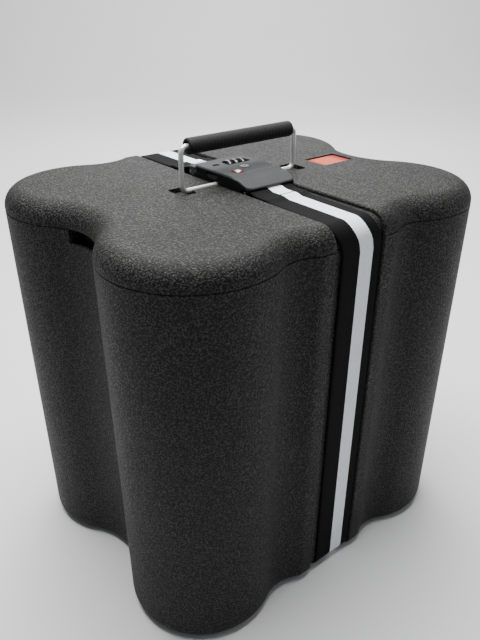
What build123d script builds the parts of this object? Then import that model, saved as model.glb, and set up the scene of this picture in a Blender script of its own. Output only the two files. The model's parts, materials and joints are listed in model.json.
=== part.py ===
"""Four-lobed moulded carrying case for twelve bottles, with a lift-off lid, a strap all round it,
a combination strap lock on top and a wire bail handle. Millimetres, +Z up, front towards -Y."""

from build123d import *
import math
import os

os.makedirs("parts", exist_ok=True)

# Case as a whole
case_height = 388.0
lid_depth = 20.0
seam_gap = 0.4
wall = 4.0
draft = 0.011
top_round = 18.0
base_round = 14.0
lip_round = 2.0
seam_round = 0.6
least_round = 0.5
cut_over = 1.0
hair = 0.001

# Plan of the case, one quarter of it
lobe_x = 121.0
lobe_y = 87.5
lobe_radius = 76.5
side_valley = 167.0
panel_y = 158.0
panel_half = 41.0
shoulder_radius = 17.0
waist_radius = 37.0

# Rim that locates the lid
rim_height = 5.0
rim_inset = 2.2
rim_clearance = 0.3

# Strap and the channel it lies in
strap_width = 50.0
strap_thickness = 1.8
strap_side_play = 4.0
channel_depth = 3.5
strap_clearance = 0.2
strap_fold_flat = 12.5
strap_rise_length = 30.0

# Finger notches in the side valleys
notch_width = 50.0
notch_height = 13.0
notch_depth = 8.0

# Bail handle
wire_diameter = 5.0
bail_span = 137.0
bail_rise = 40.5
bail_bend = 6.0
grip_diameter = 15.0
grip_end_gap = 0.5
grip_edge = 1.2
grip_clearance = 0.05
wire_clearance = 0.3
pocket_length = 24.0
pocket_width = 18.0
pocket_depth = 4.2
pocket_corner = 3.5
groove_corner = 1.0

# Badge plate in its pocket
badge_x = 120.0
badge_y = -1.5
badge_length = 43.0
badge_width = 30.0
badge_thickness = 1.6
badge_depth = 2.4
badge_clearance = 0.3
badge_corner = 2.5
badge_edge = 0.5

# Inside
pad_thickness = 12.0
pad_clearance = 1.0
lid_pad_inset = 9.0
divider_thickness = 3.0
divider_height = 235.0
cell_pitch = 79.0
divider_clearance = 1.0
half_lap_clearance = 0.3

# Strap lock, heights counted from the lid's top face
lock_half_width = 30.0
lock_rear = 36.0
lock_front = 47.0
lock_top = 12.0
lock_lip = 5.2
ramp_top_y = -22.0
ramp_break_y = -34.0
ramp_break_z = 9.4
lock_corner = 8.0
lock_rear_corner = 6.0
lock_edge = 1.6
lock_skin = 1.8
lock_floor_top = 3.2
lock_seat_gap = 0.2
lock_foot_play = 0.5
lock_post_half = 19.6
lock_ledge = 5.3

# Side windows and the fork tongue that shows in them
window_front = -4.0
window_rear = 15.5
window_top = 9.5
window_depth = 8.0
tongue_bar_depth = 3.2
tongue_low = 0.4
tongue_top = 8.6
arm_inner = 21.0
arm_height = 4.0
tongue_clearance = 0.3
prong_thickness = 2.4
prong_x = 23.0
prong_tip_y = -8.0
prong_root_y = 16.0
pad_reach = 28.6
pad_back_gap = 0.7
pad_length = 12.0
tongue_set_in = 1.0
tongue_round = 3.5
tongue_edge = 0.8
pin_diameter = 3.0
pin_clearance = 0.03
cheek_play = 0.6
pin_edge = 3.5
cheek_setback = 2.5

# Dials
dial_count = 3
dial_radius = 6.5
dial_rise = 2.4
dial_width = 6.2
dial_pitch = 8.0
dial_x = 6.0
dial_y = 18.0
digit_count = 10
digit_groove = 0.7
sleeve_radius = 3.0
sleeve_width = 6.4
window_play = 1.0
window_run = 5.0
dial_end_play = 0.6
window_round = 1.2
shaft_diameter = 2.4
running_clearance = 0.05
bearing_thickness = 1.4
detent_thickness = 0.4
detent_root = 1.2

# Small controls on the lock
button_x = -16.0
button_diameter = 3.6
button_travel = 1.5
button_sink = 0.9
button_recess = 1.2
button_flange = 5.4
button_stem = 2.6
button_end_margin = 2.0
button_side_margin = 0.8
flange_thickness = 1.0
plug_x = 3.0
plug_y = -2.0
plug_diameter = 9.0
plug_flange = 11.5
plug_rise = 0.5
key_slot_length = 5.4
key_slot_width = 1.2
key_slot_depth = 4.0
control_clearance = 0.15
disc_x = -13.0
disc_y = -12.0
disc_diameter = 12.0
disc_thickness = 0.8
disc_rise = 0.3
screw_diameter = 2.2
screw_head = 4.0
screw_head_height = 1.2
screw_x = 16.0
screw_front_y = -16.0
screw_rear_y = 31.0

# Sizes worked out from the above
seam_height = case_height - lid_depth
draft_angle = math.degrees(math.atan(draft))
channel_half = strap_width / 2 + strap_side_play
floor_thickness = channel_depth + wall
side_offset = side_valley - lobe_x
side_radius = (side_offset**2 + lobe_y**2 - lobe_radius**2) / (2 * (lobe_radius - side_offset))
run_inset = channel_depth - strap_clearance - strap_thickness / 2
grip_length = bail_span - 2 * (bail_bend + grip_end_gap)
reach = 2 * (lobe_x + lobe_radius + case_height)
bar_z = case_height - channel_depth + wire_clearance + wire_diameter / 2
lock_low = case_height - channel_depth + lock_seat_gap
lock_floor = case_height + lock_floor_top
lock_roof = case_height + lock_top - lock_skin
dial_z = case_height + lock_top + dial_rise - dial_radius
pin_loop = pin_diameter / 2 + strap_thickness / 2
front_pin_y = -(lock_front - cheek_setback - pin_edge)
front_pin_z = case_height - run_inset + pin_loop
tongue_bar_rear = lock_rear + tongue_clearance + tongue_bar_depth
rear_pin_y = tongue_bar_rear + pin_loop + strap_thickness / 2 + tongue_clearance
rear_pin_z = case_height + tongue_low + pin_loop + strap_thickness / 2 - tongue_clearance


def save(piece, name):
    """Labels a finished piece and writes it as its own file."""
    piece.part.label = name
    export_step(piece.part, f"parts/{name}.step")


def circle_meeting(first, first_reach, second, second_reach):
    """Centre that lies first_reach from one centre and second_reach from another, on the outer side."""
    span = math.dist(first, second)
    along = (first_reach**2 - second_reach**2 + span**2) / (2 * span)
    across = math.sqrt(first_reach**2 - along**2)
    ux, uy = (second[0] - first[0]) / span, (second[1] - first[1]) / span
    return (first[0] + along * ux - across * uy, first[1] + along * uy + across * ux)


def bearing(start, end):
    """Direction from one point to another, in degrees."""
    return math.degrees(math.atan2(end[1] - start[1], end[0] - start[0]))


shoulder_centre = (panel_half, panel_y - shoulder_radius)
lobe_centre = (lobe_x, lobe_y)
side_centre = (side_valley + side_radius, 0)
waist_centre = circle_meeting(
    shoulder_centre, shoulder_radius + waist_radius, lobe_centre, lobe_radius + waist_radius
)


def case_plan(inset):
    """The four-lobed outline seen from above, moved inwards by inset."""
    panel = panel_y - inset
    shoulder_turn = bearing(shoulder_centre, waist_centre)
    waist_sweep = bearing(waist_centre, lobe_centre) + 180 - shoulder_turn
    lobe_start = bearing(lobe_centre, side_centre)
    lobe_end = bearing(lobe_centre, waist_centre)
    side_turn = bearing(side_centre, lobe_centre)
    with BuildSketch() as plan:
        with BuildLine():
            Line((0, panel), (panel_half, panel))
            CenterArc(shoulder_centre, shoulder_radius - inset, shoulder_turn, 90 - shoulder_turn)
            CenterArc(waist_centre, waist_radius + inset, shoulder_turn + 180, waist_sweep)
            CenterArc(lobe_centre, lobe_radius - inset, lobe_start, lobe_end - lobe_start)
            CenterArc(side_centre, side_radius + inset, side_turn, 180 - side_turn)
            mirror(about=Plane.YZ)
            mirror(about=Plane.XZ)
        make_face()
    return plan.sketch


def drafted_block(inset, low, high):
    """Solid inside the base's drafted walls, inset from their outside, between two heights."""
    plan = case_plan(inset + draft * (seam_height - high))
    with BuildPart() as block:
        with BuildSketch(Plane((0, 0, high), x_dir=(1, 0, 0), z_dir=(0, 0, -1))):
            add(plan)
        extrude(amount=high - low, taper=draft_angle)
    return block.part


def straight_block(inset, low, high):
    """Solid with the plan of the case, inset, and upright sides between two heights."""
    plan = case_plan(inset)
    with BuildPart() as block:
        with BuildSketch(Plane.XY.offset(low)):
            add(plan)
        extrude(amount=high - low)
    return block.part


def belt_band(inset, half_width):
    """All of a slab across the case that lies outside its side profile moved inwards by inset."""
    foot = panel_y - draft * seam_height - inset
    edge = panel_y - inset
    roof = case_height - inset
    with BuildPart() as band:
        Box(2 * half_width, 2 * reach, 2 * reach)
        with BuildSketch(Plane.YZ) as core:
            with BuildLine():
                Polyline((0, inset), (foot, inset), (edge, seam_height), (edge, roof), (0, roof))
                mirror(about=Plane.YZ)
            make_face()
            corners = core.vertices().filter_by(lambda v: abs(v.X) > least_round)
            fillet(corners.group_by(Axis.Y)[0], max(base_round - inset, least_round))
            corners = core.vertices().filter_by(lambda v: abs(v.X) > least_round)
            fillet(corners.group_by(Axis.Y)[-1], max(top_round - inset, least_round))
        extrude(amount=half_width + cut_over, both=True, mode=Mode.SUBTRACT)
    return band.part


def box_between(low, high):
    """Plain block between two opposite corners."""
    with BuildPart() as block:
        with Locations(tuple((a + b) / 2 for a, b in zip(low, high))):
            Box(*[b - a for a, b in zip(low, high)])
    return block.part


def lip_edges(shell, uncut, meeting):
    """Edges where the strap's channel meets the outside of a shell that ends at a meeting height."""
    centre = Vector(0, 0, meeting)
    edges = []
    for edge in shell.edges():
        beyond = centre + (edge @ 0.5 - centre) * (1 + hair)
        beside = abs(abs((edge @ 0.5).X) - channel_half) < hair and abs((edge % 0.5).X) < hair
        if beside and not uncut.is_inside(beyond):
            edges.append(edge)
    return edges


def side_box(side, x_span, y_span, z_span):
    """Plain block given by its spans on the right-hand side, or for side -1 its mirror image on the left."""
    low_x, high_x = sorted(side * x for x in x_span)
    return box_between((low_x, y_span[0], z_span[0]), (high_x, y_span[1], z_span[1]))


# Recesses in the lid's top: handle groove, two foot pockets, badge pocket
groove_half = wire_diameter / 2 + wire_clearance
pocket_centre = bail_span / 2
lid_recesses = [
    (0, 0, bail_span, 2 * groove_half, channel_depth, groove_corner),
    (-pocket_centre, 0, pocket_width, pocket_length, pocket_depth, pocket_corner),
    (pocket_centre, 0, pocket_width, pocket_length, pocket_depth, pocket_corner),
    (badge_x, badge_y, badge_length, badge_width, badge_depth, badge_corner),
]


def lid_recess(x, y, length, width, depth, corner, margin, over):
    """One recess in the lid's top that runs over it, or with a margin the moulded thickening below it."""
    with BuildPart() as recess:
        with BuildSketch(Plane.XY.offset(case_height - depth - margin)):
            with Locations((x, y)):
                RectangleRounded(length + 2 * margin, width + 2 * margin, corner + margin)
        extrude(amount=depth + margin + over)
    return recess.part


# Base shell: drafted tub with rounded foot, strap channel, rim and finger notches
base_hollow = drafted_block(wall, floor_thickness, seam_height)
wall_belt = belt_band(channel_depth + wall, channel_half + wall)
strap_channel = belt_band(channel_depth, channel_half)
rim_outside = straight_block(rim_inset, seam_height, seam_height + rim_height)
rim_belt = belt_band(channel_depth + rim_inset, channel_half + rim_inset)
rim_inside = straight_block(wall, seam_height - rim_height, seam_height + rim_height)
notch_low = seam_height - notch_height
notch_back = side_valley - notch_depth
block_half = notch_width / 2 + wall
block_heights = (notch_low - wall, seam_height)
notch_blocks = [
    side_box(side, (notch_back - wall, side_valley), (-block_half, block_half), block_heights)
    for side in (-1, 1)
]
notch_cuts = [
    side_box(side, (notch_back, reach), (-notch_width / 2, notch_width / 2), (notch_low, seam_height))
    for side in (-1, 1)
]

with BuildPart() as hollow:
    add(base_hollow)
    add(wall_belt, mode=Mode.SUBTRACT)
    add(notch_blocks, mode=Mode.SUBTRACT)

with BuildPart() as rim_core:
    add(rim_inside)
    add(wall_belt, mode=Mode.SUBTRACT)

with BuildPart() as rim:
    add(rim_outside)
    add(rim_belt, mode=Mode.SUBTRACT)
    add(rim_core.part, mode=Mode.SUBTRACT)

base_outside = drafted_block(0, 0, seam_height)
with BuildPart() as base_shell:
    add(base_outside)
    fillet(base_shell.faces().sort_by(Axis.Z)[0].edges(), base_round)
    add(strap_channel, mode=Mode.SUBTRACT)
    fillet(lip_edges(base_shell, base_outside, seam_height), lip_round)
    fillet(base_shell.faces().sort_by(Axis.Z)[-1].edges(), seam_round)
    add(hollow.part, mode=Mode.SUBTRACT)
    add(rim.part)
    add(notch_cuts, mode=Mode.SUBTRACT)
save(base_shell, "base_shell")

# Lid shell: shallow cap with a large round at its top edge
lid_low = seam_height + seam_gap
lid_outside = straight_block(0, lid_low, case_height)
lid_inside = straight_block(wall, seam_height, case_height - wall)
rebate_top = seam_height + rim_height + rim_clearance
rebate_outside = straight_block(rim_inset - rim_clearance, seam_height, rebate_top)
rebate_belt = belt_band(
    channel_depth + rim_inset - rim_clearance, channel_half + rim_inset - rim_clearance
)
recess_backs = [lid_recess(*recess, wall, 0) for recess in lid_recesses]
recess_cuts = [lid_recess(*recess, 0, cut_over) for recess in lid_recesses]

with BuildPart() as lid_hollow:
    add(lid_inside)
    fillet(lid_hollow.faces().sort_by(Axis.Z)[-1].edges(), top_round - wall)
    add(wall_belt, mode=Mode.SUBTRACT)
    add(recess_backs, mode=Mode.SUBTRACT)

with BuildPart() as rebate:
    add(rebate_outside)
    add(rebate_belt, mode=Mode.SUBTRACT)

with BuildPart() as lid_shell:
    add(lid_outside)
    fillet(lid_shell.faces().sort_by(Axis.Z)[-1].edges(), top_round)
    add(strap_channel, mode=Mode.SUBTRACT)
    fillet(lip_edges(lid_shell, lid_outside, lid_low), lip_round)
    fillet(lid_shell.faces().sort_by(Axis.Z)[0].edges(), seam_round)
    add(lid_hollow.part, mode=Mode.SUBTRACT)
    add(rebate.part, mode=Mode.SUBTRACT)
    add(recess_cuts, mode=Mode.SUBTRACT)
save(lid_shell, "lid_shell")

# Foam pads in the floor and in the lid
pad_top = floor_thickness + pad_thickness
floor_pad = drafted_block(wall + pad_clearance, floor_thickness, pad_top)
pad_belt = belt_band(channel_depth + wall + pad_clearance, channel_half + wall + pad_clearance)
with BuildPart() as base_pad:
    add(floor_pad)
    add(pad_belt, mode=Mode.SUBTRACT)
save(base_pad, "base_pad")

roof_pad = straight_block(lid_pad_inset, lid_low, case_height - max(channel_depth, pocket_depth) - wall)
with BuildPart() as lid_pad:
    add(roof_pad)
    add(pad_belt, mode=Mode.SUBTRACT)
save(lid_pad, "lid_pad")

# Dividers: two long plates and three cross plates, half-lapped into each other
divider_top = pad_top + divider_height
divider_space = drafted_block(wall + divider_clearance, pad_top, divider_top)
divider_belt = belt_band(channel_depth + wall + divider_clearance, channel_half + wall + divider_clearance)
long_places = [-cell_pitch / 2, cell_pitch / 2]
cross_places = [-cell_pitch, 0, cell_pitch]
lap_width = divider_thickness + 2 * half_lap_clearance
lap_height = pad_top + divider_height / 2


def divider(along_x, place, slots, slot_low, slot_high):
    """One divider plate trimmed to the case's inside, with its half-lap slots."""
    half = divider_thickness / 2
    if along_x:
        plate = box_between((-reach, place - half, pad_top), (reach, place + half, divider_top))
    else:
        plate = box_between((place - half, -reach, pad_top), (place + half, reach, divider_top))
    cuts = []
    for slot in slots:
        if along_x:
            low, high = (slot - lap_width / 2, place - lap_width), (slot + lap_width / 2, place + lap_width)
        else:
            low, high = (place - lap_width, slot - lap_width / 2), (place + lap_width, slot + lap_width / 2)
        cuts.append(box_between((*low, slot_low), (*high, slot_high)))
    with BuildPart() as panel:
        add(plate)
        add(cuts, mode=Mode.SUBTRACT)
        add(divider_space, mode=Mode.INTERSECT)
        add(divider_belt, mode=Mode.SUBTRACT)
    return panel


for name, place in zip(["long_divider_front", "long_divider_rear"], long_places):
    save(divider(True, place, cross_places, lap_height, reach), name)
for name, place in zip(["cross_divider_left", "cross_divider_centre", "cross_divider_right"], cross_places):
    save(divider(False, place, long_places, 0, lap_height + half_lap_clearance), name)

# Strap, in three runs that lie in the channel
run_edge = panel_y - run_inset
run_foot = panel_y - draft * seam_height - run_inset
run_roof = case_height - run_inset
fold_gap = strap_thickness + strap_clearance / 2
fold_rise = pin_loop * 2 - fold_gap
fold_high_y = front_pin_y - pin_loop
fold_low_y = fold_high_y - 2 * (pin_loop + fold_rise)
rear_rise_y = rear_pin_y + 2 * pin_loop
rear_low_y = rear_pin_y + strap_rise_length


def strap_run(lines, name):
    """Webbing of the strap's width along a line in the side plane."""
    with BuildPart() as webbing:
        with BuildSketch(Plane.YZ):
            trace(lines, line_width=strap_thickness)
        extrude(amount=strap_width / 2, both=True)
    save(webbing, name)


with BuildLine() as base_line:
    FilletPolyline(
        (-run_edge, seam_height),
        (-run_foot, run_inset),
        (run_foot, run_inset),
        (run_edge, seam_height),
        radius=base_round - run_inset,
    )
strap_run(base_line.line, "strap_base_run")

with BuildLine() as front_line:
    FilletPolyline(
        (-run_edge, lid_low),
        (-run_edge, run_roof),
        (front_pin_y, run_roof),
        radius=top_round - run_inset,
    )
    CenterArc((front_pin_y, front_pin_z), pin_loop, -90, 180)
    FilletPolyline(
        (front_pin_y, front_pin_z + pin_loop),
        (fold_high_y, front_pin_z + pin_loop),
        (fold_low_y, run_roof + fold_gap),
        (fold_low_y - strap_fold_flat, run_roof + fold_gap),
        radius=pin_loop,
    )
strap_run(front_line.line, "strap_top_front")

with BuildLine() as rear_line:
    FilletPolyline(
        (run_edge, lid_low),
        (run_edge, run_roof),
        (rear_low_y, run_roof),
        (rear_rise_y, rear_pin_z - pin_loop),
        (rear_pin_y, rear_pin_z - pin_loop),
        radius=top_round - run_inset,
    )
    CenterArc((rear_pin_y, rear_pin_z), pin_loop, 90, 180)
    FilletPolyline(
        (rear_pin_y, rear_pin_z + pin_loop),
        (rear_rise_y, rear_pin_z + pin_loop),
        (rear_low_y, run_roof + fold_gap),
        (rear_low_y + strap_fold_flat, run_roof + fold_gap),
        radius=top_round - run_inset,
    )
strap_run(rear_line.line, "strap_top_rear")

# Bail handle: a closed loop of wire whose lower bar lies in the lid's groove, with a grip on its upper bar
bail_top = bar_z + bail_rise
with BuildPart() as handle_wire:
    with BuildLine(Plane.XZ):
        FilletPolyline(
            (0, bar_z), (bail_span / 2, bar_z), (bail_span / 2, bail_top), (0, bail_top), radius=bail_bend
        )
    with BuildSketch(Plane.YZ):
        with Locations((0, bar_z)):
            Circle(wire_diameter / 2)
    sweep()
    mirror(about=Plane.YZ)
save(handle_wire, "handle_wire")

with BuildPart() as handle_grip:
    with BuildSketch(Plane.YZ):
        with Locations((0, bail_top)):
            Circle(grip_diameter / 2)
    extrude(amount=grip_length / 2, both=True)
    fillet(handle_grip.edges().filter_by(GeomType.CIRCLE), grip_edge)
    with BuildSketch(Plane.YZ):
        with Locations((0, bail_top)):
            Circle(wire_diameter / 2 + grip_clearance)
    extrude(amount=grip_length / 2, both=True, mode=Mode.SUBTRACT)
save(handle_grip, "handle_grip")

# Badge plate, plain, bonded in its pocket
with BuildPart() as badge_plate:
    with BuildSketch(Plane.XY.offset(case_height - badge_depth)):
        with Locations((badge_x, badge_y)):
            RectangleRounded(
                badge_length - 2 * badge_clearance,
                badge_width - 2 * badge_clearance,
                badge_corner - badge_clearance,
            )
    extrude(amount=badge_thickness)
    fillet(badge_plate.faces().sort_by(Axis.Z)[-1].edges(), badge_edge)
save(badge_plate, "badge_plate")

# Lower lock housing: foot in the channel, floor, dial bearings, front cheeks for the strap pin
foot_half = channel_half - lock_foot_play
cheek_inner = strap_width / 2 + cheek_play
floor_front = front_pin_y + pin_loop + strap_thickness
cheek_front = front_pin_y - pin_edge
bearing_places = [dial_x + (i - dial_count / 2) * dial_pitch for i in range(dial_count + 1)]
post_top = lock_roof - control_clearance
pit_low = dial_z - dial_radius - control_clearance
rim_reach = dial_radius + control_clearance


def across_lock(y, z, diameter, half_length):
    """Round bar or hole that lies across the lock."""
    with BuildPart() as bar:
        with BuildSketch(Plane.YZ):
            with Locations((y, z)):
                Circle(diameter / 2)
        extrude(amount=half_length, both=True)
    return bar.part


def upright(x, y, diameter, low, high):
    """Upright round post or hole between two heights."""
    with BuildPart() as post:
        with BuildSketch(Plane.XY.offset(low)):
            with Locations((x, y)):
                Circle(diameter / 2)
        extrude(amount=high - low)
    return post.part


screw_places = [(side * screw_x, y) for side in (-1, 1) for y in (screw_front_y, screw_rear_y)]
screw_hole = screw_diameter + 2 * running_clearance
head_low = lock_low + screw_head_height
screw_cuts = [upright(x, y, screw_hole, lock_low, lock_floor) for x, y in screw_places]
head_hole = screw_head + 2 * control_clearance
head_cuts = [upright(x, y, head_hole, lock_low, head_low) for x, y in screw_places]
front_pin_cut = across_lock(front_pin_y, front_pin_z, pin_diameter + 2 * pin_clearance, lock_half_width)
shaft_cut = across_lock(dial_y, dial_z, shaft_diameter + 2 * running_clearance, lock_half_width)
bar_tunnel = box_between(
    (-lock_half_width, -groove_half, lock_low), (lock_half_width, groove_half, bar_z + groove_half)
)
dial_pit = box_between(
    (bearing_places[0], dial_y - rim_reach, pit_low), (bearing_places[-1], dial_y + rim_reach, lock_floor)
)
posts = [
    box_between(
        (x - bearing_thickness / 2, dial_y - shaft_diameter, pit_low),
        (x + bearing_thickness / 2, dial_y + shaft_diameter, post_top),
    )
    for x in bearing_places
]
foot = box_between((-foot_half, floor_front, lock_low), (foot_half, lock_rear, lock_floor))
cheeks = box_between((-foot_half, cheek_front, lock_low), (foot_half, floor_front, lock_floor))
cheek_gap = box_between((-cheek_inner, -lock_front, lock_low), (cheek_inner, floor_front, lock_floor))

with BuildPart() as lock_base:
    with BuildSketch(Plane.XY.offset(case_height + lock_seat_gap)):
        with BuildLine():
            Polyline(
                (0, floor_front), (lock_half_width, floor_front), (lock_half_width, lock_rear), (0, lock_rear)
            )
            mirror(about=Plane.YZ)
        make_face()
    extrude(amount=lock_floor_top - lock_seat_gap)
    fillet(lock_base.edges().filter_by(Axis.Z).group_by(Axis.Y)[-1], lock_rear_corner)
    add(foot)
    add(cheeks)
    add(cheek_gap, mode=Mode.SUBTRACT)
    add(dial_pit, mode=Mode.SUBTRACT)
    add(posts)
    add([shaft_cut, front_pin_cut, bar_tunnel] + screw_cuts + head_cuts, mode=Mode.SUBTRACT)
save(lock_base, "lock_base")

# Upper lock housing: sloped front, hollow inside, window for the dials, side windows for the fingers
ramp = [
    (-lock_front, lock_floor_top),
    (-lock_front, lock_lip),
    (ramp_break_y, ramp_break_z),
    (ramp_top_y, lock_top),
    (lock_rear, lock_top),
    (lock_rear, lock_floor_top),
]
arm_low = lock_floor + tongue_clearance
arm_top = arm_low + arm_height
hollow_front = ramp_top_y + lock_skin
inner_half = lock_half_width - lock_skin
hollow_rear = lock_rear - lock_skin
cover_cuts = [
    box_between((-lock_post_half, hollow_front, lock_floor), (lock_post_half, hollow_rear, lock_roof)),
    box_between(
        (-cheek_inner, -lock_front, lock_floor),
        (cheek_inner, floor_front, front_pin_z + pin_loop + strap_thickness / 2 + tongue_clearance),
    ),
]
window_span = (lock_half_width - window_depth, lock_half_width + cut_over)
arm_span = (lock_post_half - cut_over, inner_half)
rear_end = lock_rear + cut_over
for side in (-1, 1):
    cover_cuts += [
        side_box(side, window_span, (window_front, window_rear), (lock_floor, case_height + window_top)),
        side_box(side, window_span, (window_rear, rear_end), (lock_floor, case_height + lock_ledge)),
        side_box(side, arm_span, (hollow_front, rear_end), (lock_floor, arm_top + tongue_clearance)),
    ]
tap_cuts = [upright(x, y, screw_hole, lock_floor, lock_roof - lock_skin) for x, y in screw_places]
boss_diameter = screw_diameter + 2 * lock_skin
boss_top = lock_roof + lock_skin / 2
screw_bosses = [upright(x, y, boss_diameter, lock_floor, boss_top) for x, y in screw_places]
window_length = (dial_count - 1) * dial_pitch + dial_width + 2 * dial_end_play + window_run
window_width = 2 * math.sqrt(dial_radius**2 - (dial_radius - dial_rise - lock_skin) ** 2) + window_play
lock_top_z = case_height + lock_top


def outer_top_edge(edge):
    """True for the edges round the top of the cover, not for its two creases."""
    crosses = abs(edge.tangent_at(0.5).X) > 0.99
    inside = lock_lip - lock_front < edge.center().Y < lock_rear - lock_rear_corner
    return not (crosses and inside)


with BuildPart() as lock_cover:
    with BuildSketch(Plane.YZ):
        with BuildLine():
            Polyline(*[(y, case_height + z) for y, z in ramp], close=True)
        make_face()
    extrude(amount=lock_half_width, both=True)
    fillet(lock_cover.edges().filter_by(Axis.Z).group_by(Axis.Y)[0], lock_corner)
    fillet(lock_cover.edges().filter_by(Axis.Z).group_by(Axis.Y)[-1], lock_rear_corner)
    upper_faces = lock_cover.faces().filter_by(lambda face: face.normal_at().Z > 0.5)
    fillet(upper_faces.edges().filter_by(outer_top_edge), lock_edge)
    add(cover_cuts, mode=Mode.SUBTRACT)
    add(screw_bosses)
    with BuildSketch(Plane.XY.offset(lock_top_z)):
        with Locations((dial_x + window_run / 2, dial_y)):
            RectangleRounded(window_length, window_width, window_round)
        with Locations((plug_x, plug_y)):
            Circle(plug_diameter / 2 + control_clearance)
        with Locations((button_x, dial_y)):
            Circle(button_diameter / 2 + control_clearance)
    extrude(amount=-2 * lock_skin, mode=Mode.SUBTRACT)
    with BuildSketch(Plane.XY.offset(lock_top_z)):
        with Locations((disc_x, disc_y)):
            Circle(disc_diameter / 2 + control_clearance)
    extrude(amount=-(disc_thickness - disc_rise), mode=Mode.SUBTRACT)
    with BuildSketch(Plane.XY.offset(lock_top_z)):
        with Locations((button_x, dial_y)):
            SlotOverall(button_diameter + 2 * button_end_margin, button_diameter + 2 * button_side_margin)
    extrude(amount=-button_recess, mode=Mode.SUBTRACT)
    add(tap_cuts, mode=Mode.SUBTRACT)
save(lock_cover, "lock_cover")

# Screws that hold the two housings together, heads in the foot
with BuildPart() as lock_screws:
    for x, y in screw_places:
        add(upright(x, y, screw_head, lock_low, head_low))
        add(upright(x, y, screw_diameter, head_low, lock_roof - 2 * lock_skin))
save(lock_screws, "lock_screws")

# Fork tongue at the rear end of the strap, with its two spring prongs
arm_outer = inner_half - 2 * tongue_clearance
tongue_base = case_height + tongue_low
tongue_roof = case_height + tongue_top
tongue_front = lock_rear + tongue_clearance
cheek_rear = rear_pin_y + pin_edge
rear_pin_cut = across_lock(rear_pin_y, rear_pin_z, pin_diameter + 2 * pin_clearance, lock_half_width)
tongue_half = lock_half_width - tongue_set_in
hood_low = rear_pin_z + pin_loop + strap_thickness / 2 + tongue_clearance
fold_space = box_between((-cheek_inner, tongue_bar_rear, tongue_base), (cheek_inner, cheek_rear, hood_low))
ledge_low = case_height + lock_ledge - tongue_clearance
tongue_arms = []
for side in (-1, 1):
    tongue_arms += [
        side_box(side, (arm_inner, arm_outer), (prong_root_y, tongue_front), (arm_low, arm_top)),
        side_box(side, (arm_outer, tongue_half), (prong_root_y, tongue_front), (arm_low, ledge_low)),
    ]
with BuildPart() as tongue:
    add(box_between((-tongue_half, tongue_front, tongue_base), (tongue_half, cheek_rear, tongue_roof)))
    fillet(tongue.edges().filter_by(Axis.Z).group_by(Axis.Y)[-1], tongue_round)
    fillet(tongue.faces().sort_by(Axis.Z)[-1].edges(), tongue_edge)
    add([fold_space, rear_pin_cut], mode=Mode.SUBTRACT)
    add(tongue_arms)
save(tongue, "tongue")

for side, name in ((-1, "prong_left"), (1, "prong_right")):
    pad_rear = window_rear - pad_back_gap
    outline = [
        (prong_x, prong_root_y),
        (prong_x + prong_thickness, prong_root_y),
        (prong_x + prong_thickness, pad_rear),
        (pad_reach, pad_rear),
        (pad_reach, pad_rear - pad_length),
        (prong_x + prong_thickness, window_front + pad_back_gap),
        (prong_x + prong_thickness, prong_tip_y),
        (prong_x, prong_tip_y),
    ]
    with BuildPart() as prong:
        with BuildSketch(Plane.XY.offset(arm_low)):
            with BuildLine():
                Polyline(*[(side * x, y) for x, y in outline], close=True)
            make_face()
        extrude(amount=arm_height)
    save(prong, name)

# Pins that the strap ends loop round
for name, y, z, half in (
    ("front_strap_pin", front_pin_y, front_pin_z, foot_half),
    ("rear_strap_pin", rear_pin_y, rear_pin_z, tongue_half),
):
    with BuildPart() as strap_pin:
        add(across_lock(y, z, pin_diameter, half - pin_clearance))
    save(strap_pin, name)

# Dial shaft, three dials and the code sleeves inside them
with BuildPart() as dial_shaft:
    with BuildSketch(Plane.YZ.offset(bearing_places[0] - bearing_thickness)):
        with Locations((dial_y, dial_z)):
            Circle(shaft_diameter / 2)
    extrude(amount=bearing_places[-1] - bearing_places[0] + 2 * bearing_thickness)
save(dial_shaft, "dial_shaft")

for number in range(dial_count):
    centre_x = (bearing_places[number] + bearing_places[number + 1]) / 2
    with BuildPart() as dial:
        with BuildSketch(Plane.YZ.offset(centre_x - dial_width / 2)):
            with Locations((dial_y, dial_z)):
                Circle(dial_radius)
                with PolarLocations(dial_radius, digit_count):
                    Circle(digit_groove, mode=Mode.SUBTRACT)
                Circle(sleeve_radius + running_clearance, mode=Mode.SUBTRACT)
        extrude(amount=dial_width)
    save(dial, f"dial_{number + 1}")
    with BuildPart() as sleeve:
        with BuildSketch(Plane.YZ.offset(centre_x - sleeve_width / 2)):
            with Locations((dial_y, dial_z)):
                Circle(sleeve_radius)
                Circle(shaft_diameter / 2 + running_clearance, mode=Mode.SUBTRACT)
            with Locations((dial_y, dial_z - sleeve_radius)):
                Rectangle(shaft_diameter / 2, sleeve_radius - shaft_diameter / 2, mode=Mode.SUBTRACT)
        extrude(amount=sleeve_width)
    save(sleeve, f"code_sleeve_{number + 1}")

# Leaf spring whose three fingers click the dials from number to number
with BuildPart() as detent_spring:
    add(
        box_between(
            (bearing_places[0], dial_y + rim_reach + control_clearance, lock_floor),
            (bearing_places[-1], dial_y + rim_reach + control_clearance + detent_thickness, dial_z),
        )
    )
    for x in bearing_places[1:-1]:
        add(
            box_between(
                (x - bearing_thickness / 2, dial_y, lock_floor + detent_root),
                (x + bearing_thickness / 2, lock_rear, lock_roof),
            ),
            mode=Mode.SUBTRACT,
        )
save(detent_spring, "detent_spring")

# Reset button and its spring
flange_top = lock_roof - control_clearance
flange_low = flange_top - flange_thickness
with BuildPart() as reset_button:
    add(upright(button_x, dial_y, button_diameter, flange_low, lock_top_z - button_sink))
    add(upright(button_x, dial_y, button_flange, flange_low, flange_top))
    add(upright(button_x, dial_y, button_stem, flange_low - button_travel, flange_low))
save(reset_button, "reset_button")

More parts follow.
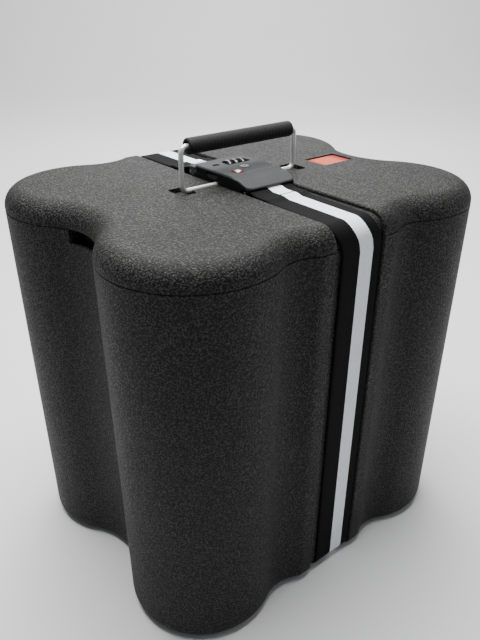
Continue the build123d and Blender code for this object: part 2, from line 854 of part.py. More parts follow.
with BuildPart() as button_spring:
    with BuildSketch(Plane.XY.offset(lock_floor)):
        with Locations((button_x, dial_y)):
            Circle(button_flange / 2)
            Circle(button_diameter / 2, mode=Mode.SUBTRACT)
    extrude(amount=flange_low - lock_floor)
save(button_spring, "button_spring")

# Key plug with its slot and the cam under it
with BuildPart() as key_plug:
    add(upright(plug_x, plug_y, plug_diameter, flange_low, lock_top_z + plug_rise))
    add(upright(plug_x, plug_y, plug_flange, flange_low, flange_top))
    add(upright(plug_x, plug_y, plug_diameter / 2, arm_low, flange_low))
    add(
        box_between(
            (plug_x, plug_y - key_slot_width, arm_low),
            (plug_x + plug_flange / 2, plug_y + key_slot_width, arm_low + flange_thickness),
        )
    )
    fillet(key_plug.faces().sort_by(Axis.Z)[-1].edges(), plug_rise / 2)
    with BuildSketch(Plane.XY.offset(lock_top_z + plug_rise)):
        with Locations((plug_x, plug_y)):
            Rectangle(key_slot_width, key_slot_length)
    extrude(amount=-key_slot_depth, mode=Mode.SUBTRACT)
save(key_plug, "key_plug")

# Plain disc inlaid in the cover
disc_top = lock_top_z + disc_rise
with BuildPart() as lock_disc:
    add(upright(disc_x, disc_y, disc_diameter, disc_top - disc_thickness, disc_top))
    fillet(lock_disc.faces().sort_by(Axis.Z)[-1].edges(), disc_rise / 2)
save(lock_disc, "lock_disc")
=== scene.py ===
"""Looks of a four-lobed moulded carrying case: pebbled plastic, webbing with a pale stripe, wire handle
with a foam grip, combination strap lock, badge plate, foam pads and dividers. Lengths are in metres, in the
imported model's frame."""

import json
import math

import bmesh
import bpy
from mathutils import Matrix, Vector


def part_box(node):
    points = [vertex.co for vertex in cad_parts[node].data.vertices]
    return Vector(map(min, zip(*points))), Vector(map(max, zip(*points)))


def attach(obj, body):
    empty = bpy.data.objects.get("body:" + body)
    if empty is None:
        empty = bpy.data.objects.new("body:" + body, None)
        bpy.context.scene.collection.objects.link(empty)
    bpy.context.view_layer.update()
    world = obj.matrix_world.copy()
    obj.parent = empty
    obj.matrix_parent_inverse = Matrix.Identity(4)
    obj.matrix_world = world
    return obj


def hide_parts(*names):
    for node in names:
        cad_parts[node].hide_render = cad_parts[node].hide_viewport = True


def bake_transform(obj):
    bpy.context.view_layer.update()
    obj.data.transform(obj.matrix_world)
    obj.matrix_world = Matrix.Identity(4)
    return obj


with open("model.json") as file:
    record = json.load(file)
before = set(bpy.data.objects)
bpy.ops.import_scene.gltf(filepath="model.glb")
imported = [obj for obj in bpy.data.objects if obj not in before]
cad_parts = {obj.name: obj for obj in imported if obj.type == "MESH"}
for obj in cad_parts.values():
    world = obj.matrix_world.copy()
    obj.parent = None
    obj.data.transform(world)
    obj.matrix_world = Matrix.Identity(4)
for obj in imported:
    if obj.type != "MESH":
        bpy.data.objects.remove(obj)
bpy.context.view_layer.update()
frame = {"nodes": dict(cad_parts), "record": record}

# Places that the frame gives
lid_low, lid_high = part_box("lid_shell")
lid_top = lid_high.z
seam_z = lid_low.z

# Camera: a person's view from the front left, a little above the lid
camera_height = 0.1745
camera_place = Vector((-0.3916, -0.4825, lid_top + camera_height))
camera_heading = Vector((0.6294, 0.7770, 0.0))
camera_pitch = math.radians(27.976)
camera_lens = 36.55
sensor_width = 36.0


def make_camera():
    data = bpy.data.cameras.new("camera")
    data.lens = camera_lens
    data.sensor_width = sensor_width
    camera = bpy.data.objects.new("camera", data)
    bpy.context.scene.collection.objects.link(camera)
    look = camera_heading.normalized() * math.cos(camera_pitch) - Vector((0, 0, math.sin(camera_pitch)))
    turn = look.to_track_quat("-Z", "Y").to_matrix().to_4x4()
    camera.matrix_world = Matrix.Translation(camera_place) @ turn
    bpy.context.scene.camera = camera


make_camera()


# Shader expressions
class Shade:
    """One socket of a material. Arithmetic on it adds Math nodes."""

    def __init__(self, finish, socket):
        self.finish = finish
        self.socket = socket

    def math(self, operation, *values):
        return self.finish.add("Math", {"operation": operation}, dict(enumerate(values)))

    def __add__(self, other):
        return self.math("ADD", self, other)

    def __sub__(self, other):
        return self.math("SUBTRACT", self, other)

    def __rsub__(self, other):
        return self.math("SUBTRACT", other, self)

    def __mul__(self, other):
        return self.math("MULTIPLY", self, other)

    def __lt__(self, other):
        return self.math("LESS_THAN", self, other)

    def __gt__(self, other):
        return self.math("GREATER_THAN", self, other)

    def __abs__(self):
        return self.math("ABSOLUTE", self)

    __radd__ = __add__
    __rmul__ = __mul__

    def wave(self, pitch):
        """Runs from 0 to 1 and back once every pitch."""
        return (self * (2 * math.pi / pitch)).sine() * 0.5 + 0.5

    def sine(self):
        return self.math("SINE", self)


class Finish:
    """A material under construction, with one Principled shader."""

    def __init__(self, name):
        self.material = bpy.data.materials.new(name)
        self.material.use_nodes = True
        self.tree = self.material.node_tree
        self.shader = self.tree.nodes["Principled BSDF"]

    def add(self, kind, settings=None, inputs=None, output=0):
        """Adds a node with its settings first and then its inputs, and returns one of its outputs."""
        made = self.tree.nodes.new("ShaderNode" + kind)
        for key, value in (settings or {}).items():
            if key == "stops":
                self.set_stops(made.color_ramp, value)
            else:
                setattr(made, key, value)
        for key, value in (inputs or {}).items():
            self.feed(made.inputs[key], value)
        return Shade(self, made.outputs[output])

    def set_stops(self, ramp, stops):
        while len(ramp.elements) < len(stops):
            ramp.elements.new(0.5)
        for element, (place, level) in zip(ramp.elements, stops):
            element.position = place
            element.color = (level, level, level, 1)

    def feed(self, socket, value):
        if isinstance(value, Shade):
            self.tree.links.new(value.socket, socket)
        else:
            socket.default_value = value

    def place(self, source="Object"):
        return self.add("TexCoord", output=source)

    def split(self, place):
        """The three parts of a place or vector."""
        node = self.add("SeparateXYZ", None, {"Vector": place}).socket.node
        return [Shade(self, output) for output in node.outputs]

    def noise(self, place, scale, detail=2.0, roughness=0.5):
        sockets = {"Vector": place, "Scale": scale, "Detail": detail, "Roughness": roughness}
        return self.add("TexNoise", None, sockets, "Fac")

    def cells(self, place, scale, feature="SMOOTH_F1"):
        return self.add("TexVoronoi", {"feature": feature}, {"Vector": place, "Scale": scale}, "Distance")

    def ramp(self, value, *stops):
        """Levels of grey along a value, as (place, level) pairs."""
        return self.add("ValToRGB", {"stops": stops}, {"Fac": value})

    def mix(self, share, first, second):
        """Colour that goes from first to second."""
        return self.add("Mix", {"data_type": "RGBA"}, {"Factor": share, 6: first, 7: second}, 2)

    def bump(self, height, distance):
        return self.add("Bump", None, {"Height": height, "Distance": distance})

    def surface(self, **sockets):
        """Sets the shader's sockets, some of them under a shorter name."""
        names = {"color": "Base Color", "coat": "Coat Weight", "specular": "Specular IOR Level"}
        for key, value in sockets.items():
            self.feed(self.shader.inputs[names.get(key, key.replace("_", " ").title())], value)
        return self.material


def grey(level, blue=0.0):
    """A neutral colour, or with blue a slightly cool one."""
    return (level, level * (1 + blue / 2), level * (1 + blue), 1)


# Sizes of the webbing and of what is woven, sewn, ribbed or painted
webbing_width = 0.050
webbing_thickness = 0.0015
stripe_width = 0.0164
stripe_offset = 0.0046
stripe_fray = 0.0002
selvedge_width = 0.0016
rib_pitch = 0.0019
cord_pitch = 0.0014
stitch_rows = (0.0100, 0.0112)
stitch_pitch = 0.0034
thread_half = 0.0006
flute_pitch = 0.0055

# Relief of the surfaces, in height
pebble_relief = 0.00030
weave_relief = 0.0002
rubber_relief = 0.00028
spark_relief = 0.00005
draw_mark_relief = 0.00003
tool_mark_relief = 0.00002
peel_relief = 0.00006
foam_relief = 0.0005
flute_relief = 0.00012

# Grain of the case and its painted glints, in cells or waves per metre
pebble_scale = 560
glint_speckle_scale = 720
mottle_scale = 24
scuff_scale = 75

# Lock and badge: the lock's grey, the cover's sides in painted shade, the plug's bright rim and the enamels
lock_level = 0.046
lock_roughness = 0.60
shade_skirt_side = 0.0290
shade_skirt_height = 0.0098
plug_rim = 0.0009
badge_deep = (0.24, 0.020, 0.026, 1)
badge_highlight_pale = (0.44, 0.10, 0.06, 1)
ring_deep = (0.10, 0.005, 0.006, 1)
ring_pale = (0.16, 0.010, 0.010, 1)


# Materials
def pebbled_plastic():
    """Charcoal polyethylene with its mould's fine pebbles, lighter on their tops, and a shinier speckle of
    painted glints.
    """
    finish = Finish("pebbled_charcoal_plastic")
    place = finish.place()
    pebbles = finish.cells(place, pebble_scale)
    grain = finish.noise(place, glint_speckle_scale, 1.0, 0.5)
    mottle = finish.noise(place, mottle_scale, 4)
    scuffs = finish.ramp(finish.noise(place, scuff_scale, 5, 0.7), (0.60, 0.0), (0.74, 1.0))
    tops = finish.ramp(pebbles, (0.15, 1.0), (0.60, 0.0))
    # The speckle is painted glints: fine bright spots in the colour, which are also shinier and raised
    glint_speckle = finish.ramp(grain, (0.50, 0.0), (0.62, 1.0))
    shade = tops * 0.12 + glint_speckle * 0.80 + mottle * 0.08
    color = finish.mix(shade, grey(0.0, 0.02), grey(0.041, -0.08))
    color = finish.mix(scuffs * 0.2, color, grey(0.040))
    return finish.surface(
        color=color,
        roughness=0.60 + mottle * 0.10 - glint_speckle * 0.12,
        specular=0.20,
        normal=finish.bump(tops * 0.7 + glint_speckle, pebble_relief),
    )


def woven_webbing():
    """Dark webbing with a pale stripe, cross ribs, lengthwise cords and sewn rows. UV in metres."""
    finish = Finish("striped_webbing")
    uv = finish.place("UV")
    across, along, _ = finish.split(uv)
    ribs = along.wave(rib_pitch)
    cords = across.wave(cord_pitch)
    fuzz = finish.noise(uv, 900, 2)
    soil = finish.noise(uv, 35, 3)
    edge = abs(across - stripe_offset + (ribs - 0.5) * stripe_fray)
    stripe = edge < stripe_width / 2
    border = abs(across) > webbing_width / 2 - selvedge_width
    stitches = 0.0
    for row in stitch_rows:
        stitches = (abs(along - row) < thread_half) * (across.wave(stitch_pitch) > 0.2) + stitches
    dark = finish.mix(fuzz * 0.6 + cords * 0.4, grey(0.002), grey(0.008))
    dark = finish.mix(border, dark, grey(0.002))
    pale = finish.mix(ribs, (0.72, 0.77, 0.82, 1), (0.86, 0.90, 0.93, 1))
    pale = finish.mix(finish.ramp(soil, (0.5, 0.0), (0.8, 0.35)), pale, (0.60, 0.61, 0.62, 1))
    color = finish.mix(stripe, dark, pale)
    color = finish.mix(stitches, color, grey(0.006))
    return finish.surface(
        color=color,
        roughness=0.66 + fuzz * 0.2,
        specular=0.06,
        normal=finish.bump(ribs * 0.6 + cords * 0.4 + fuzz * 0.5 + stitches, weave_relief),
    )


def bright_wire():
    """Zinc-plated steel wire with faint draw marks and a few dull specks."""
    finish = Finish("bright_plated_wire")
    place = finish.place()
    marks = finish.noise(place, 900, 3)
    haze = finish.noise(place, 60, 2)
    specks = finish.ramp(finish.noise(place, 420, 3), (0.62, 0.0), (0.70, 1.0))
    color = finish.mix(haze, (0.78, 0.80, 0.77, 1), (0.90, 0.92, 0.89, 1))
    return finish.surface(
        color=finish.mix(specks * 0.5, color, (0.45, 0.44, 0.42, 1)),
        metallic=0.55,
        roughness=0.26 + haze * 0.12 + specks * 0.15,
        normal=finish.bump(marks, draw_mark_relief),
    )


def foam_grip():
    """Soft black foam rubber with a fine skin and open pores."""
    finish = Finish("black_foam_rubber")
    place = finish.place()
    pores = finish.cells(place, 1500, "F1")
    skin = finish.noise(place, 300, 4, 0.6)
    return finish.surface(
        color=finish.mix(skin, grey(0.006), grey(0.018)),
        roughness=0.58 + skin * 0.25,
        specular=0.25,
        normal=finish.bump(pores * 0.5 + skin, rubber_relief),
    )


def satin_plastic(name, level, roughness, blue=0.06, shade_skirt=None):
    """Moulded plastic with a fine spark-eroded grain.

    A shade skirt (half width, height) paints shade: black outside that half width and under that height.
    """
    finish = Finish(name)
    place = finish.place()
    grain = finish.noise(place, 2200, 2)
    cloud = finish.noise(place, 90, 2)
    color = finish.mix(cloud, grey(level * 0.85, blue), grey(level * 1.15, blue))
    if shade_skirt:
        side, top = shade_skirt
        x, _, z = finish.split(place)
        # Painted shade: black outside the half width and under the height, where the sides fall in shadow
        color = finish.mix((abs(x) > side) * (z < top), color, grey(0.006, blue))
    return finish.surface(
        color=color,
        roughness=roughness + grain * 0.10 + cloud * 0.06,
        specular=0.09,
        normal=finish.bump(grain, spark_relief),
    )


def metal(name, color, roughness):
    """Bare or plated metal with fine tool marks."""
    finish = Finish(name)
    marks = finish.noise(finish.place(), 1200, 3)
    dimmed = tuple(c * 0.8 for c in color[:3]) + (1,)
    return finish.surface(
        color=finish.mix(marks, dimmed, color),
        metallic=1.0,
        roughness=roughness + marks * 0.12,
        normal=finish.bump(marks, tool_mark_relief),
    )


def rimmed_metal(centre, rim_radius):
    """Round plug with tool marks, dark in its middle and with a bright metal rim."""
    finish = Finish("dark_plug_with_bright_rim")
    place = finish.place()
    x, y, _ = finish.split(place)
    reach = (x - centre.x) * (x - centre.x) + (y - centre.y) * (y - centre.y)
    rim = reach > rim_radius**2
    marks = finish.noise(place, 1500, 3)
    return finish.surface(
        color=finish.mix(rim, grey(0.030), grey(0.72)),
        metallic=rim,
        roughness=0.30 + marks * 0.15,
        normal=finish.bump(marks, draw_mark_relief),
    )


def enamel(name, deep, pale, centre=None, half=1.0):
    """Satin enamel with a slight orange peel; where a centre is given, a painted highlight makes it paler
    towards the middle.
    """
    finish = Finish(name)
    place = finish.place()
    cloud = finish.noise(place, 220, 3)
    share = cloud * 0.5
    if centre is not None:
        across, _, _ = finish.split(place)
        # Painted highlight: the enamel grows paler towards the middle
        outward = finish.ramp(abs(across - centre) * (1 / half), (0.45, 0.0), (0.85, 0.85))
        share = 1.0 - outward + cloud * 0.1
    return finish.surface(
        color=finish.mix(share, deep, pale),
        roughness=0.50 + cloud * 0.15,
        specular=0.04,
        normal=finish.bump(cloud, peel_relief),
    )


def closed_foam():
    """Charcoal closed-cell foam with small cut cells."""
    finish = Finish("closed_cell_foam")
    place = finish.place()
    pores = finish.cells(place, 900, "F1")
    cloud = finish.noise(place, 45, 3)
    return finish.surface(
        color=finish.mix(cloud, grey(0.045, 0.04), grey(0.075, 0.04)),
        roughness=0.85 + pores * 0.1,
        normal=finish.bump(pores, foam_relief),
    )


def fluted_board():
    """Grey fluted plastic board whose upright flutes show faintly through its skin."""
    finish = Finish("fluted_board")
    place = finish.place()
    x, y, _ = finish.split(place)
    flutes = (x + y).wave(flute_pitch)
    cloud = finish.noise(place, 120, 3)
    return finish.surface(
        color=finish.mix(cloud, grey(0.12, 0.05), grey(0.17, 0.05)),
        roughness=0.42 + cloud * 0.1,
        normal=finish.bump(flutes * 2 + cloud * 0.4, flute_relief),
    )


badge_low, badge_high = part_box("badge_plate")
badge_centre = (badge_low + badge_high) / 2
badge_size = badge_high - badge_low
materials = {
    "case_plastic": pebbled_plastic(),
    "pad_foam": closed_foam(),
    "divider_board": fluted_board(),
    "webbing": woven_webbing(),
    "wire_steel": bright_wire(),
    "grip_rubber": foam_grip(),
    "lock_plastic": satin_plastic("grey_lock_plastic", lock_level, lock_roughness),
    # The badge's enamel is paler in its middle: a painted highlight
    "badge_plate": enamel("red_badge_enamel_with_painted_highlight", badge_deep, badge_highlight_pale, badge_centre.x, badge_size.x / 2),
    "pin_steel": metal("drawn_steel", (0.62, 0.62, 0.62, 1), 0.32),
    "dial_plastic": satin_plastic("black_dial_plastic", 0.012, 0.30),
    "control_metal": metal("bright_control_metal", (0.78, 0.78, 0.76, 1), 0.18),
    "sleeve_brass": metal("turned_brass", (0.72, 0.52, 0.24, 1), 0.30),
}
# The lock's base is black plastic, darkened further as painted shade where it lies under the cover
shadow_plastic = satin_plastic("black_lock_plastic_and_painted_shade", 0.007, 0.50)
# The cover's sides under its top plate are blackened: painted shade
shade_skirt = (shade_skirt_side, lid_top + shade_skirt_height)
cover_plastic = satin_plastic("grey_cover_plastic_with_painted_shade", lock_level, lock_roughness, shade_skirt=shade_skirt)
key_low, key_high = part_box("key_plug")
plug_finish = rimmed_metal((key_low + key_high) / 2, (key_high.x - key_low.x) / 2 - plug_rim)
digit_paint = satin_plastic("pale_digit_paint", 0.80, 0.45, 0.0)
ring_enamel = enamel("dark_red_ring_enamel", ring_deep, ring_pale)

for part in frame["record"]["subparts"]:
    node = frame["nodes"][part["node"]]
    node.data.materials.clear()
    node.data.materials.append(materials[part["material_slot"]])
frame["nodes"]["lock_base"].data.materials[0] = shadow_plastic
frame["nodes"]["lock_cover"].data.materials[0] = cover_plastic
frame["nodes"]["key_plug"].data.materials[0] = plug_finish


# Helpers for pieces
weld = 1e-6
turn_steps = 48


def new_piece(name, bm, body, slot, material=None):
    """Makes an object of a finished bmesh, in place, and lets it ride on a body if one is given."""
    mesh = bpy.data.meshes.new(name)
    bm.to_mesh(mesh)
    bm.free()
    mesh.polygons.foreach_set("use_smooth", [True] * len(mesh.polygons))
    piece = bpy.data.objects.new(name, mesh)
    bpy.context.scene.collection.objects.link(piece)
    mesh.materials.append(material or materials[slot])
    if body:
        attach(piece, body)
    return piece


def modify(piece, kind, **settings):
    """Adds a modifier and applies it."""
    modifier = piece.modifiers.new(kind.lower(), kind)
    for key, value in settings.items():
        setattr(modifier, key, value)
    bpy.context.view_layer.objects.active = piece
    bpy.ops.object.modifier_apply(modifier=modifier.name)


def round_edges(bm, edges, radius, segments):
    """Rounds a bmesh's edges."""
    bmesh.ops.bevel(
        bm,
        geom=edges,
        offset=radius,
        segments=segments,
        profile=0.5,
        affect="EDGES",
        clamp_overlap=True,
        material=-1,
    )


def turned(name, profile, centre, axis, body, slot, material=None, loop=False):
    """Piece turned round an axis from a profile of (radius, place along the axis) pairs."""
    bm = bmesh.new()
    outward = Vector((0, 0, 1)) if axis.x else Vector((1, 0, 0))
    verts = [bm.verts.new(centre + axis * along + outward * radius) for radius, along in profile]
    pairs = list(zip(verts, verts[1:])) + ([(verts[-1], verts[0])] if loop else [])
    edges = [bm.edges.new(pair) for pair in pairs]
    bmesh.ops.spin(
        bm, geom=verts + edges, cent=centre, axis=axis, angle=2 * math.pi, steps=turn_steps, use_merge=True
    )
    bmesh.ops.remove_doubles(bm, verts=bm.verts, dist=weld)
    bmesh.ops.recalc_face_normals(bm, faces=bm.faces)
    return new_piece(name, bm, body, slot, material)


# Webbing: places that the strap's pins and runs give
base_run_low, base_run_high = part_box("strap_base_run")
front_pin_low, front_pin_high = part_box("front_strap_pin")
rear_pin_low, rear_pin_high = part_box("rear_strap_pin")
inset = base_run_low.z + webbing_thickness / 2
edge_y = base_run_high.y - webbing_thickness / 2
roof_z = lid_top - inset
front_pin = (front_pin_low + front_pin_high) / 2
rear_pin = (rear_pin_low + rear_pin_high) / 2
pin_loop = (front_pin_high.z - front_pin_low.z) / 2 + webbing_thickness / 2

# Webbing: its folds and corners, and the steps that its mesh takes
fold_clearance = 0.0001
fold_gap = webbing_thickness + fold_clearance
fold_drop = 2 * (pin_loop * 3 - fold_gap)
fold_flat = 0.0125
fold_step = 0.003
fold_bend = 0.004
split_y = 0.1375
rise_length = 0.030
wall_draft = 0.011
foot_y = edge_y - wall_draft * seam_z
foot_round = 0.014
top_round = 0.018
roof_corner = top_round - inset
seam_bend = 0.1
webbing_columns = 20
straight_step = 0.008
arc_step = math.radians(9)
loop_steps = 12
selvedge_share = 0.1
selvedge_thinness = 0.35

# How far the webbing drifts sideways in its channel. At the rear it sways by so many radians per metre.
drift_start = 0.045
drift_lock = -0.0018
drift_edge = -0.0042
drift_face = 0.0040
drift_length = 0.026
rear_drift = 0.0012
rear_sway = 9
roof_margin = 0.001


def rounded_path(corners, step=straight_step):
    """Points along straight runs in the YZ plane whose corners, each (y, z, radius), are rounded."""
    path = [Vector(corners[0][:2])]
    for before, corner, after in zip(corners, corners[1:], corners[2:]):
        here = Vector(corner[:2])
        back = (Vector(before[:2]) - here).normalized()
        ahead = (Vector(after[:2]) - here).normalized()
        half = back.angle(ahead) / 2
        trim = corner[2] / math.tan(half)
        centre = here + (back + ahead).normalized() * corner[2] / math.sin(half)
        start, end = here + back * trim, here + ahead * trim
        add_run(path, start, step)
        turn = math.pi - 2 * half
        count = max(2, math.ceil(turn / arc_step))
        first, last = start - centre, end - centre
        sweep = first.angle_signed(last)
        for i in range(1, count + 1):
            path.append(centre + Matrix.Rotation(-sweep * i / count, 2) @ first)
    add_run(path, Vector(corners[-1][:2]), step)
    return path


def add_run(path, end, step):
    """Adds points from the path's last one to end, none further apart than step."""
    start = path[-1].copy()
    count = max(1, math.ceil((end - start).length / step))
    for i in range(1, count + 1):
        path.append(start.lerp(end, i / count))


def path_length(path):
    return sum((there - here).length for here, there in zip(path, path[1:]))


def loop_round(pin, first, last):
    """Points on the webbing's bend round a pin, between two directions in degrees."""
    points = []
    for i in range(loop_steps + 1):
        turn = math.radians(first + (last - first) * i / loop_steps)
        points.append(Vector((pin.y + pin_loop * math.cos(turn), pin.z + pin_loop * math.sin(turn))))
    return points


def drift(point):
    """Sideways place of the webbing in its channel: left on the front of the lid, right down the face."""
    y, z = point
    if z < foot_round:
        return drift_face * (foot_y - y) / (2 * foot_y)
    if y > 0:
        return rear_drift * math.sin(rear_sway * z)
    if z > roof_z - roof_margin:
        share = min(1, max(0, (-drift_start - y) / (edge_y - drift_start)))
        return drift_lock + (drift_edge - drift_lock) * share
    share = min(1, (roof_z - z) / drift_length)
    return drift_edge + (drift_face - drift_edge) * share * share * (3 - 2 * share)


def lay_webbing(bm, path, start):
    """Extrudes a row of edges along a path. Returns each point's places across and along the webbing."""
    across = [webbing_width * (i / webbing_columns - 0.5) for i in range(webbing_columns + 1)]
    row = [bm.verts.new((x + drift(path[0]), path[0].x, path[0].y)) for x in across]
    edges = [bm.edges.new(pair) for pair in zip(row, row[1:])]
    places = {vert: (x, start) for vert, x in zip(row, across)}
    travelled = start
    for here, there in zip(path, path[1:]):
        travelled += (there - here).length
        made = bmesh.ops.extrude_edge_only(bm, edges=edges)["geom"]
        fresh = [g for g in made if isinstance(g, bmesh.types.BMVert)]
        edges = [g for g in made if isinstance(g, bmesh.types.BMEdge)]
        step = (drift(there) - drift(here), there.x - here.x, there.y - here.y)
        bmesh.ops.translate(bm, verts=fresh, vec=step)
        fresh.sort(key=lambda v: v.co.x)
        places.update((vert, (x, travelled)) for vert, x in zip(fresh, across))
    return places


def webbing_strip(name, path, start=0.0):
    """Webbing along a path, thinner in its selvedges, with its UV in metres."""
    bm = bmesh.new()
    uv = bm.loops.layers.uv.new("UVMap")
    selvedge = bm.verts.layers.deform.verify()
    places = lay_webbing(bm, path, start)
    for face in bm.faces:
        for loop in face.loops:
            loop[uv].uv = places[loop.vert]
    for vert, (x, _) in places.items():
        reach = abs(x) / (webbing_width / 2)
        past = max(0.0, (reach - (1 - selvedge_share)) / selvedge_share)
        vert[selvedge][0] = math.sqrt(max(0.0, 1 - past**2))
    piece = new_piece(name, bm, None, "webbing")
    piece.vertex_groups.new(name="thick")
    modify(
        piece,
        "SOLIDIFY",
        thickness=webbing_thickness,
        offset=0.0,
        vertex_group="thick",
        thickness_vertex_group=selvedge_thinness,
    )
    return piece


def make_main_webbing():
    """The strap from its sewn end under the lock, down the front, under the case and up the back."""
    fold_low_y = front_pin.y - pin_loop - fold_drop
    lap_end_y = fold_low_y - fold_flat
    under = [(lap_end_y, roof_z, 0), (front_pin.y, front_pin.z - pin_loop, 0)]
    path = rounded_path(under) + loop_round(front_pin, -90, 90)[1:]
    start = fold_low_y - front_pin.y - path_length(path)
    run = [
        (front_pin.y, front_pin.z + pin_loop, 0),
        (front_pin.y - pin_loop, front_pin.z + pin_loop, fold_bend),
        (fold_low_y, roof_z + fold_gap, fold_bend),
        (lap_end_y - fold_step, roof_z + fold_gap, fold_bend),
        (lap_end_y - fold_step * 3, roof_z, fold_bend),
        (-edge_y, roof_z, roof_corner),
        (-edge_y, seam_z, seam_bend),
        (-foot_y, inset, foot_round - inset),
        (foot_y, inset, foot_round - inset),
        (edge_y, seam_z, seam_bend),
        (edge_y, roof_z, roof_corner),
        (split_y, roof_z, 0),
    ]
    path += rounded_path(run)[1:]
    main = webbing_strip("webbing_main", path, start)
    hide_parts("strap_base_run", "strap_top_front")
    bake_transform(main)


def make_rear_webbing():
    """The strap's rear end, from its sewn lap round the tongue's pin to the top of the back."""
    rise_y = rear_pin.y + 2 * pin_loop
    low_y = rear_pin.y + rise_length
    lap = [
        (low_y + fold_flat, roof_z + fold_gap, 0),
        (low_y, roof_z + fold_gap, roof_corner),
        (rise_y, rear_pin.z + pin_loop, roof_corner),
        (rear_pin.y, rear_pin.z + pin_loop, 0),
    ]
    path = rounded_path(lap, straight_step / 2) + loop_round(rear_pin, 90, 270)[1:]
    rear = [
        (rear_pin.y, rear_pin.z - pin_loop, 0),
        (rise_y, rear_pin.z - pin_loop, roof_corner),
        (low_y, roof_z, roof_corner),
        (split_y, roof_z, 0),
    ]
    path += rounded_path(rear, straight_step / 2)[1:]
    tail = webbing_strip("webbing_rear_end", path)
    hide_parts("strap_top_rear")
    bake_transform(tail)


# Handle grip: foam sleeve with open mouths round the wire
# Its shoulder, lip and floor are rounded in steps, each a change of radius and a length along the axis
grip_mouth = 0.0046
grip_mouth_depth = 0.010
grip_rib_pitch = 0.0042
grip_rib_depth = 0.00022
grip_rib_steps = 6
grip_bore_gap = 0.0001
grip_end = 0.002
grip_shoulder = ((0.0004, 0.0008), (0.0011, 0.0002), (0.0018, 0))
grip_lip = ((0.0004, 0.0002), (0, 0.0010))
grip_floor = ((0.0001, 0.0005), (0.0006, 0))


def make_grip():
    low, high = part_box("handle_grip")
    wire_low, wire_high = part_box("handle_wire")
    centre = (low + high) / 2
    radius = (high.z - low.z) / 2
    half = (high.x - low.x) / 2
    bore = (wire_high.y - wire_low.y) / 2 + grip_bore_gap
    floor = half - grip_mouth_depth
    mouth = [(radius - change, half - back) for change, back in grip_shoulder]
    mouth += [(grip_mouth + change, half - back) for change, back in grip_lip]
    mouth += [(grip_mouth - change, floor + rise) for change, rise in grip_floor]
    mouth.append((bore, floor))
    count = round(2 * (half - grip_end) / grip_rib_pitch) * grip_rib_steps
    ribs = []
    for i in range(count + 1):
        dip = 0.5 - 0.5 * math.cos(2 * math.pi * i / grip_rib_steps)
        ribs.append((radius - grip_rib_depth * dip, (half - grip_end) * (2 * i / count - 1)))
    left = [(r, -along) for r, along in reversed(mouth)]
    profile = left + ribs + mouth
    grip = turned("grip_sleeve", profile, centre, Vector((1, 0, 0)), "handle", "grip_rubber", loop=True)
    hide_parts("handle_grip")


# Badge: plain enamelled plate with a thin raised rim, low in its pocket
badge_sink = 0.0006
badge_corner = 0.0022
badge_edge = 0.0004
badge_rim = 0.0011
badge_bevel = 0.0003
badge_recess = 0.00035


def make_badge():
    bm = bmesh.new()
    size = badge_size - Vector((0, 0, badge_sink))
    centre = badge_centre - Vector((0, 0, badge_sink / 2))
    bmesh.ops.create_cube(bm, size=1, matrix=Matrix.Translation(centre) @ Matrix.Diagonal((*size, 1)))
    upright = [e for e in bm.edges if abs((e.verts[0].co - e.verts[1].co).z) > size.z / 2]
    round_edges(bm, upright, badge_corner, 5)
    top = max(bm.faces, key=lambda face: face.calc_center_median().z)
    round_edges(bm, list(top.edges), badge_edge, 2)
    top = max(bm.faces, key=lambda face: face.calc_center_median().z)
    bmesh.ops.inset_region(bm, faces=[top], thickness=badge_rim)
    bmesh.ops.inset_region(bm, faces=[top], thickness=badge_bevel, depth=-badge_recess)
    badge = new_piece("badge_face", bm, "lid", "badge_plate")
    for polygon in badge.data.polygons:
        polygon.use_smooth = polygon.area < badge_size.x * badge_size.y / 4
    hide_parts("badge_plate")


# Disc inlaid in the lock: a plain bright dome in an enamelled ring
# The dome's outline is in shares of its radius and heights over the ring
dome_share = 0.60
dome_gap = 0.0001
dome_outline = ((0.85, 0.0001), (0.5, 0.0005), (0.2, 0.0006), (0, 0.0006))
ring_edge = 0.0003
ring_lip = 0.0004


def make_disc():
    low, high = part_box("lock_disc")
    centre = (low + high) / 2
    centre.z = low.z
    radius = (high.x - low.x) / 2
    depth = high.z - low.z
    up = Vector((0, 0, 1))
    inner = radius * dome_share
    ring = [
        (inner, 0),
        (radius, 0),
        (radius, depth - ring_edge),
        (radius - ring_edge, depth),
        (inner + ring_lip, depth),
        (inner, depth - ring_edge),
    ]
    dome = [(0, 0), (inner - dome_gap, 0), (inner - dome_gap, depth - ring_edge)]
    dome += [(inner * share, depth + rise) for share, rise in dome_outline]
    rim = turned("lock_disc_ring", ring, centre, up, "lid", "badge_plate", ring_enamel, loop=True)
    middle = turned("lock_disc_dome", dome, centre, up, "lid", "control_metal")
    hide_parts("lock_disc")
    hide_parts("lock_disc")


# Digits on the dials, one at each click
digit_size = 0.0044
digit_depth = 0.0003
digit_stand = 0.00006
digit_count = 10
digit_cuts = 2
top_digits = (4, 7, 1)


def digit_mesh(digit, radius):
    """Mesh of one digit, bent round the X axis with its middle at the top."""
    curve = bpy.data.curves.new("digit", "FONT")
    curve.body = str(digit)
    curve.size = digit_size
    curve.extrude = digit_depth / 2
    holder = bpy.data.objects.new("digit", curve)
    bpy.context.scene.collection.objects.link(holder)
    mesh = bpy.data.meshes.new_from_object(holder)
    bpy.data.objects.remove(holder)
    bpy.data.curves.remove(curve)
    bm = bmesh.new()
    bm.from_mesh(mesh)
    bmesh.ops.remove_doubles(bm, verts=bm.verts, dist=weld)
    bmesh.ops.subdivide_edges(bm, edges=bm.edges[:], cuts=digit_cuts, use_grid_fill=True)
    places = [vert.co for vert in bm.verts]
    middle = [(min(p[i] for p in places) + max(p[i] for p in places)) / 2 for i in range(2)]
    for vert in bm.verts:
        turn = (vert.co.y - middle[1]) / radius
        reach = radius + vert.co.z
        vert.co = (vert.co.x - middle[0], reach * math.sin(turn), reach * math.cos(turn))
    bm.to_mesh(mesh)
    bm.free()
    return mesh


